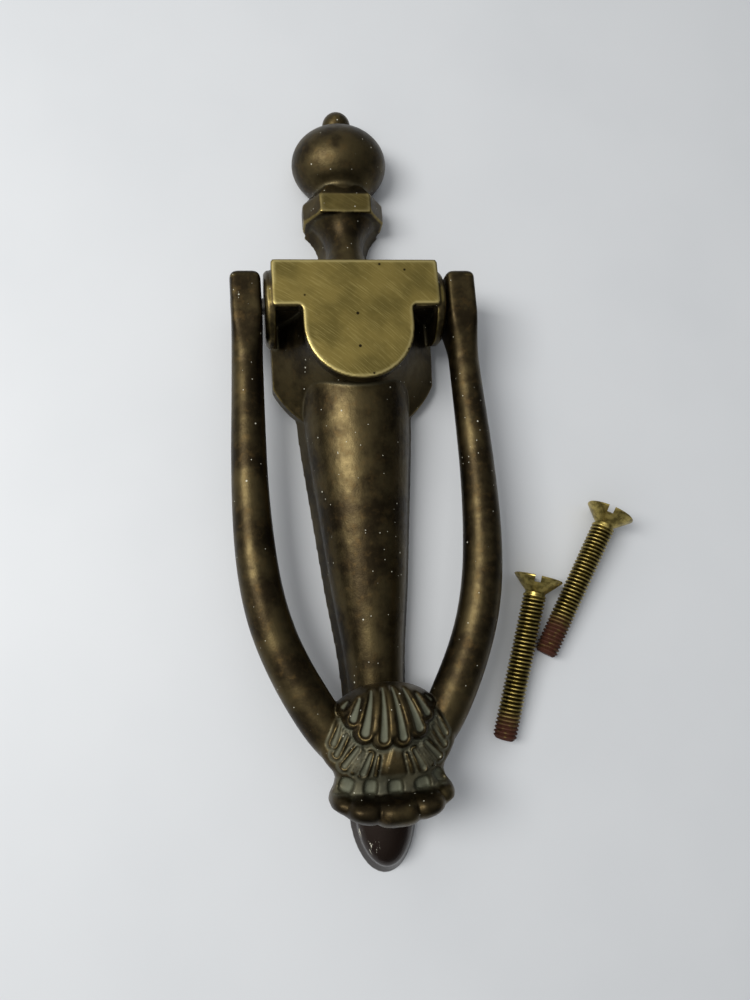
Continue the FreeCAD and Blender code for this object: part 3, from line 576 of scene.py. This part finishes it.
def shell_front(x, y, sizes):
    """Front height of the shell and its verdigris, both in the plane, in millimetres."""
    flute_depth, bead, window_depth = sizes.flute_depth / MM, sizes.bead_height / MM, sizes.window_depth / MM
    crust = np.zeros_like(x)

    # lower tier, which runs out over the arms, and the throat under it
    tier = 15.5 + (7.1 - 0.0125 * x * x) * rise(-y, 36.5, 43.5)
    tier = tier - 1.3 * rise(-y, 51.0, 56.0) - 3.4 * rise(-y, 58.5, 62.5)
    beads = np.zeros_like(x)
    for line in TONGUES:
        distance = capsule(x, y, line)
        beads = np.maximum(beads, np.exp(-((distance / 0.33) ** 2)))
        crust = np.maximum(crust, 0.75 * rise(-distance, 0.15, 0.5))
        crust = np.maximum(crust, 0.5 * rise(-np.abs(distance - 0.65), -0.45, -0.1))
    middle = capsule(x, y, (0.9, -48.6, 1.4, 0.4, -53.2, 2.5), mirrored=False)
    beads = np.maximum(beads, 0.8 * rise(-middle, -0.1, 0.5)) * rise(-y, 40.0, 43.0) * rise(y, -55.0, -53.8)
    under_tier = rise(-y, 41.0, 44.0) * rise(y, -55.0, -53.5)
    tier = tier + bead * (beads - 0.5 * (crust > 0.3) * under_tier)
    crust = crust * under_tier

    # hollows above the lobes, with thin ridges left between them
    hollows = np.zeros_like(x)
    for cx, cy, half_x, half_y, turn in WINDOWS:
        c, s = math.cos(math.radians(turn)), math.sin(math.radians(turn))
        u, v = (x - cx) * c + (y - cy) * s, -(x - cx) * s + (y - cy) * c
        square = np.maximum(np.abs(u) / half_x, np.abs(v) / half_y)
        edge = square * 0.5 + 0.5 * np.hypot(u / half_x, v / half_y)
        hollows = np.maximum(hollows, rise(-edge, -1.15, -0.75))
    tier = tier - window_depth * hollows
    crust = np.maximum(crust, hollows)
    crust = np.maximum(crust, 0.45 * rise(-y, 53.2, 54.2) * rise(y, -58.6, -57.2))

    # lobes of the lip
    lip = np.full_like(x, 12.0)
    for cx, cy, half_x, half_y, front in LOBES:
        across, along = np.abs(x - cx) / (half_x * 1.4), np.abs(y - cy) / half_y
        inside = np.clip(1 - across ** 3.4 - along ** 2.3, 0, None)
        lip = np.maximum(lip, np.where(inside > 0, 19.6 + (front - 19.6) * np.sqrt(inside), 12.0))
    crust = crust * (1 - rise(lip, 20.8, 22.5))

    # dome of petals, each with a flute
    down_dome = ((y + 43.5) / np.where(y > -43.5, 9.8, 14.0)) ** 2
    dome = 17 + 9.3 * np.sqrt(np.clip(1 - (x / 13.8) ** 2 - down_dome, 0, 1))
    edge = np.full_like(x, 9.0)
    for line in PETALS + RIBS:
        edge = np.minimum(edge, capsule(x, y, line))
    fall = np.where(edge < 0, 1.25 * np.clip(1 + edge / 1.25, 0, 1) ** 2, 1.25 + 7 * edge)
    flute = np.zeros_like(x)
    for line in FLUTES:
        distance = capsule(x, y, line)
        flute = np.maximum(flute, rise(-distance, -0.55, 0.45))
        crust = np.where(edge < -0.1, np.maximum(crust, rise(-distance, -0.05, 0.3)), crust)
    petals = dome - fall - flute_depth * flute
    height = np.maximum(np.maximum(tier, lip), petals)
    crust = np.where((petals > tier) & (flute < 0.3), 0, crust)
    skirt = rise(-edge, -1.6, -0.2) * (petals < tier)
    crust = np.maximum(crust, 0.8 * skirt * (y < -41))
    return np.clip(height, 12.0, 26.9), crust


def shell_half_width(y):
    """Half-width of the shell down its length."""
    top_to_lip = [(-65.1, 0.6), (-64.7, 3.9), (-64.0, 6.5), (-63.0, 9.0), (-62.0, 10.9), (-61.0, 12.5),
                  (-60.0, 13.9), (-58.8, 14.2), (-57.4, 13.8), (-55.8, 12.8), (-54.2, 12.4), (-52.8, 12.9),
                  (-51.0, 14.3), (-49.0, 15.5), (-46.8, 16.1), (-44.5, 15.6), (-42.0, 14.2), (-40.0, 12.5),
                  (-38.0, 11.1), (-37.0, 10.0), (-36.0, 8.4), (-35.2, 6.7), (-34.7, 5.1), (-34.4, 3.6),
                  (-34.2, 1.2)]
    ys, widths = zip(*top_to_lip)
    return np.interp(y, ys, widths)


def shell_rings(sizes):
    """Rings round the shell from its lip to the top of its dome."""
    rows = np.concatenate([np.linspace(-65.1, -64.0, 12), np.linspace(-63.85, -35.4, 158),
                           np.linspace(-35.2, -34.2, 10)])
    front_steps, back_steps = 230, 40
    t = np.linspace(-1, 1, front_steps)
    t = np.sign(t) * (1 - (1 - np.abs(t)) ** 1.25)
    back_t = np.linspace(1, -1, back_steps + 2)[1:-1]
    rings = np.zeros((len(rows), front_steps + back_steps, 3))
    for i, y in enumerate(rows):
        half = float(shell_half_width(y))
        back = 11.8 + 3.4 * float(rise(y, -39.0, -34.5)) + 2.6 * float(rise(-y, 59.0, 65.0))
        middle = back + 2.2
        x = t * half
        height, _ = shell_front(x, np.full_like(x, y), sizes)
        height = np.maximum(height, middle + 0.5)
        end = (1 - np.abs(t) ** 5) ** 0.2
        rings[i, :front_steps] = np.stack([x, np.full_like(x, y), middle + (height - middle) * end], 1)
        under = (1 - np.abs(back_t) ** 3) ** (1 / 3)
        rings[i, front_steps:] = np.stack([back_t * half, np.full_like(back_t, y),
                                           middle - (middle - back) * under], 1)
    return rings


def arm_rings(side):
    """Rings along one arm's round bar."""
    line = np.array(ARM_LINE)
    stations = np.linspace(0, len(line) - 1, 90)
    index = np.arange(len(line))
    steps = np.stack([np.interp(stations, index, line[:, k]) for k in range(3)], 1)
    for _ in range(14):
        steps[1:-1] = 0.25 * steps[:-2] + 0.5 * steps[1:-1] + 0.25 * steps[2:]
    along = np.gradient(steps[:, :2], axis=0)
    along /= np.linalg.norm(along, axis=1)[:, None]
    angles = np.linspace(0, 2 * np.pi, 48, endpoint=False)
    rings = np.zeros((len(steps), len(angles), 3))
    for i, (x, y, radius) in enumerate(steps):
        across = np.array([along[i, 1], -along[i, 0]])
        out = radius * np.cos(angles)
        rings[i, :, 0] = side * (x + across[0] * out)
        rings[i, :, 1] = y + across[1] * out
        rings[i, :, 2] = ARM_Z + radius * np.sin(angles)
    return rings


def knuckle(side):
    """Deep flat-sided block at the top of an arm, rounded over its end and eased into the round bar."""
    inner, outer, top, bottom, corner = 23.15, 30.75, 66.0, 41.5, 1.7
    half_width, half_depth = (outer - inner) / 2, 6.55
    centre = (inner + outer) / 2
    over_end = top - corner * (1 - np.cos(np.linspace(0, np.pi / 2, 9)))
    levels = np.concatenate([over_end, np.linspace(top - corner, bottom, 49)[1:]])
    angles = np.linspace(0, 2 * np.pi, 96, endpoint=False)
    c, s = np.cos(angles), np.sin(angles)
    rings = np.zeros((len(levels), len(angles), 3))
    for i, y in enumerate(levels):
        inset = corner * (1 - math.sqrt(max(0.0, 1 - (max(0.0, y - top + corner) / corner) ** 2)))
        ease = float(rise(-y, -55.5, -42.5))
        power = 0.3 + 0.68 * ease
        out = (half_width - inset) * np.sign(c) * np.abs(c) ** power
        rings[i, :, 0] = side * (centre + 0.45 * ease + out)
        rings[i, :, 1] = y
        rings[i, :, 2] = ARM_Z + (half_depth - 2.8 * ease - inset) * np.sign(s) * np.abs(s) ** power
    return rolled_sheet("knuckle", rings)


class KNOCKER_OT_striker(bpy.types.Operator):
    """Models the striker: two arms with knuckles, joined by the scallop shell"""

    bl_idname = "knocker.striker"
    bl_label = "Striker"

    def execute(self, context):
        sizes = context.scene.knocker_sizes
        parts = [rolled_sheet("shell", shell_rings(sizes))]
        for side in (-1, 1):
            parts.append(rolled_sheet("arm", arm_rings(side)))
            parts.append(knuckle(side))
        deselect()
        bpy.ops.mesh.primitive_cylinder_add(vertices=48, radius=PAD_RADIUS * MM, depth=PAD_LENGTH * MM,
                                            location=(0, PAD_Y * MM, PAD_Z * MM))
        parts.append(bpy.context.object)
        settle(parts[-1])
        piece = joined("striker_casting", parts)
        cast_skin(piece, sizes.striker_grain, 3)
        mark_relief(piece, 10)
        places, normals = vertex_places(piece.data), vertex_normals(piece.data)
        x, y, z = places.T
        _, crust = shell_front(x, y, sizes)
        in_front = rise(z, 16.5, 18.0) * rise(normals[:, 2], -0.1, 0.25)
        on_shell = (y < -34.5) * (np.abs(x) < shell_half_width(y) + 0.3)
        mark(piece, "verdigris", crust * in_front * on_shell)
        for name in ("buffed", "foot", "paint"):
            mark(piece, name, np.zeros(len(x)))
        piece.data.materials.clear()
        piece.data.materials.append(casting_finish())
        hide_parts("striker")
        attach(piece, "striker")
        return {"FINISHED"}


# ---- hinge pins ----

class KNOCKER_OT_pins(bpy.types.Operator):
    """Gives the hinge pins their filed steel"""

    bl_idname = "knocker.pins"
    bl_label = "Hinge pins"

    def execute(self, context):
        steel = pin_steel(context.scene.knocker_finishes)
        for name in ("hinge_pin_left", "hinge_pin_right"):
            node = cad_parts[name]
            node.data.materials.clear()
            node.data.materials.append(steel)
        return {"FINISHED"}


# ---- fixing screws ----

SCREW_LENGTH, HEAD_RADIUS, HEAD_RIM, NECK_RADIUS, THREAD_RADIUS = 42.0, 6.2, 0.5, 2.6, 2.98
THREAD_START = 4.9
HEAD_OVERHANG = 3.25            # head's radius beyond the shank's, which tilts a lying screw
SLOT_WIDTH = 1.6
# head centre X, Y and heading of the tip in degrees, and the length of the rust stain from the tip
SCREW_LIES = {"screw_1": (44.3, -12.0, -107.5), "screw_2": (66.4, 4.1, -120.9)}
RUST_LENGTH = {"screw_1": 9.0, "screw_2": 13.0}


def screw_shank(sizes):
    """Threaded shank: a rolled sheet whose radius follows the thread's helix."""
    pitch, depth = sizes.thread_pitch / MM, sizes.thread_depth / MM
    rows = np.arange(THREAD_START - 1.0, SCREW_LENGTH, pitch / 9)
    angles = np.linspace(0, 2 * np.pi, 40, endpoint=False)
    phase = (rows[:, None] / pitch - angles[None, :] / (2 * np.pi)) % 1
    wave = np.clip(2.6 * (0.5 - np.abs(phase - 0.5)), 0, 1)
    cut = rise(rows, THREAD_START - 0.3, THREAD_START + 1.2)[:, None]
    radius = THREAD_RADIUS - depth * (1 - wave) * cut
    radius = np.where(rows[:, None] < THREAD_START, NECK_RADIUS, radius)
    tip = np.clip(SCREW_LENGTH - rows, 0, None)[:, None] + THREAD_RADIUS - 0.9
    radius = np.minimum(radius, tip)
    rings = np.stack([radius * np.cos(angles), radius * np.sin(angles),
                      np.repeat(rows[:, None], len(angles), 1)], 2)
    return rolled_sheet("shank", rings)


def screw_head():
    """Countersunk head, turned from a profile, with its slot cut across."""
    profile = [(0.6, 0.0), (5.75, 0.0), (6.05, 0.08), (HEAD_RADIUS, 0.25), (HEAD_RADIUS, HEAD_RIM),
               (6.05, 0.68), (3.25, 3.55), (2.85, 3.9), (NECK_RADIUS, 4.2), (NECK_RADIUS, THREAD_START)]
    angles = np.linspace(0, 2 * np.pi, 72, endpoint=False)
    rings = np.array([[(r * math.cos(a), r * math.sin(a), z) for a in angles] for r, z in profile])
    head = rolled_sheet("head", rings)
    deselect()
    bpy.ops.mesh.primitive_cube_add(size=1, location=(0, 0, 0.35 * MM), rotation=(0, 0, math.radians(20)),
                                    scale=(14 * MM, SLOT_WIDTH * MM, 2.7 * MM))
    cutter = bpy.context.object
    settle(cutter)
    apply_modifier(head, "BOOLEAN", operation="DIFFERENCE", object=cutter, solver="EXACT")
    bpy.data.objects.remove(cutter)
    return head


class KNOCKER_OT_screws(bpy.types.Operator):
    """Models one slotted countersunk screw and lays a copy where each loose screw lies"""

    bl_idname = "knocker.screws"
    bl_label = "Fixing screws"

    def execute(self, context):
        sizes = context.scene.knocker_sizes
        pattern = joined("screw", [screw_head(), screw_shank(sizes)])
        x, y, z = vertex_places(pattern.data).T
        radius = np.hypot(x, y)
        threaded = rise(z, THREAD_START, THREAD_START + 0.8)
        crest = 1 - threaded * rise(-radius, -THREAD_RADIUS, -THREAD_RADIUS + sizes.thread_depth / MM)
        mark(pattern, "crest", crest)
        brass = screw_brass(context.scene.knocker_finishes)
        tilt = math.asin(HEAD_OVERHANG / (SCREW_LENGTH - HEAD_RIM))
        for name, (head_x, head_y, heading) in SCREW_LIES.items():
            pick(pattern)
            bpy.ops.object.duplicate()
            piece = context.object
            piece.name = name + "_threaded"
            clean_length = SCREW_LENGTH - RUST_LENGTH[name]
            mark(piece, "tip", rise(z, clean_length, clean_length + 6))
            lay_down = Matrix.Rotation(math.pi / 2 + tilt, 4, "Y")
            piece.data.transform(Matrix.Rotation(math.radians(heading), 4, "Z") @ lay_down)
            lowest = vertex_places(piece.data)[:, 2].min() * MM
            piece.data.transform(Matrix.Translation((head_x * MM, head_y * MM, -lowest)))
            pick(piece)
            bpy.ops.object.shade_smooth_by_angle(angle=math.radians(35))
            piece.data.materials.clear()
            piece.data.materials.append(brass)
            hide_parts(name)
            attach(piece, name)
        bpy.data.objects.remove(pattern)
        return {"FINISHED"}


# ---- stage ----

TABLE_SIZE = 3.0                # metres, as are the lamp's sizes
TABLE_GAP = 0.00005             # keeps the table from lying in the same plane as the casting's back
LAMP_DIRECTION = (-0.56, 0.12, 0.82)
LAMP_DISTANCE = 0.62
LAMP_SIZE = (0.20, 0.34)
LAMP_WATTS = 2.9
WINDOW_DIRECTION = (-0.62, 0.35, 0.70)
CAMERA_PLACE = (-27.81, -20.93, 192.24)
CAMERA_TURN = (10.0653, -8.6698, -4.3573)
CAMERA_LENS = 27.0
CAMERA_SENSOR_HEIGHT = 36.0


class KNOCKER_OT_stage(bpy.types.Operator):
    """Sets the table, the soft light and the camera"""

    bl_idname = "knocker.stage"
    bl_label = "Stage"

    def execute(self, context):
        scene = context.scene
        deselect()
        bpy.ops.mesh.primitive_plane_add(size=TABLE_SIZE, location=(0, 0, cad_box[0][2] - TABLE_GAP))
        table = context.object
        table.name = "table"
        settle(table)
        table.data.materials.append(table_top(scene.knocker_finishes))

        toward_lamp = Vector(LAMP_DIRECTION).normalized()
        lamp = bpy.data.objects.new("soft_lamp", bpy.data.lights.new("soft_lamp", "AREA"))
        lamp.data.shape = "RECTANGLE"
        lamp.data.size, lamp.data.size_y = LAMP_SIZE
        lamp.data.energy = LAMP_WATTS
        lamp.data.color = (1.0, 0.985, 0.96)
        lamp.location = toward_lamp * LAMP_DISTANCE
        lamp.rotation_euler = toward_lamp.to_track_quat("Z", "Y").to_euler()
        scene.collection.objects.link(lamp)

        world = bpy.data.worlds.new("room")
        scene.world = world
        world.use_nodes = True
        tree = world.node_tree
        tree.nodes.clear()
        direction = add(tree, "ShaderNodeTexCoord").outputs["Generated"]
        facing = add(tree, "ShaderNodeVectorMath", {0: direction, 1: WINDOW_DIRECTION},
                     operation="DOT_PRODUCT").outputs["Value"]
        glow = wear_mask(tree, facing, -0.25, 1.0)
        colour = blend_colour(tree, glow, linear("#62656a"), linear("#d9d9d9"))
        back = add(tree, "ShaderNodeBackground", {"Color": colour, "Strength": 1.0})
        output = add(tree, "ShaderNodeOutputWorld")
        tree.links.new(back.outputs[0], output.inputs["Surface"])

        camera = bpy.data.objects.new("camera", bpy.data.cameras.new("camera"))
        camera.data.sensor_fit = "VERTICAL"
        camera.data.sensor_height = CAMERA_SENSOR_HEIGHT
        camera.data.lens = CAMERA_LENS
        camera.data.clip_start = 0.01
        camera.data.clip_end = 20.0
        camera.location = [v * MM for v in CAMERA_PLACE]
        camera.rotation_euler = [math.radians(v) for v in CAMERA_TURN]
        scene.collection.objects.link(camera)
        scene.camera = camera
        scene.view_settings.view_transform = "Standard"
        return {"FINISHED"}


class KNOCKER_PT_panel(bpy.types.Panel):
    """Sizes, colours and steps of the knocker"""

    bl_label = "Door knocker"
    bl_idname = "KNOCKER_PT_panel"
    bl_space_type = "VIEW_3D"
    bl_region_type = "UI"
    bl_category = "Knocker"

    def draw(self, context):
        layout = self.layout
        for group in (context.scene.knocker_sizes, context.scene.knocker_finishes):
            box = layout.box()
            for name in group.bl_rna.properties.keys():
                if name not in ("rna_type", "name"):
                    box.prop(group, name)
        for operator in OPERATORS:
            layout.operator(operator.bl_idname)


OPERATORS = (KNOCKER_OT_base, KNOCKER_OT_striker, KNOCKER_OT_pins, KNOCKER_OT_screws, KNOCKER_OT_stage)
CLASSES = (KnockerSizes, KnockerFinishes) + OPERATORS + (KNOCKER_PT_panel,)


def register():
    for cls in CLASSES:
        bpy.utils.register_class(cls)
    bpy.types.Scene.knocker_sizes = PointerProperty(type=KnockerSizes)
    bpy.types.Scene.knocker_finishes = PointerProperty(type=KnockerFinishes)


def unregister():
    del bpy.types.Scene.knocker_finishes
    del bpy.types.Scene.knocker_sizes
    for cls in reversed(CLASSES):
        bpy.utils.unregister_class(cls)


def main():
    register()
    bpy.ops.knocker.base()
    bpy.ops.knocker.striker()
    bpy.ops.knocker.pins()
    bpy.ops.knocker.screws()
    bpy.ops.knocker.stage()


if __name__ == "__main__":
    main()
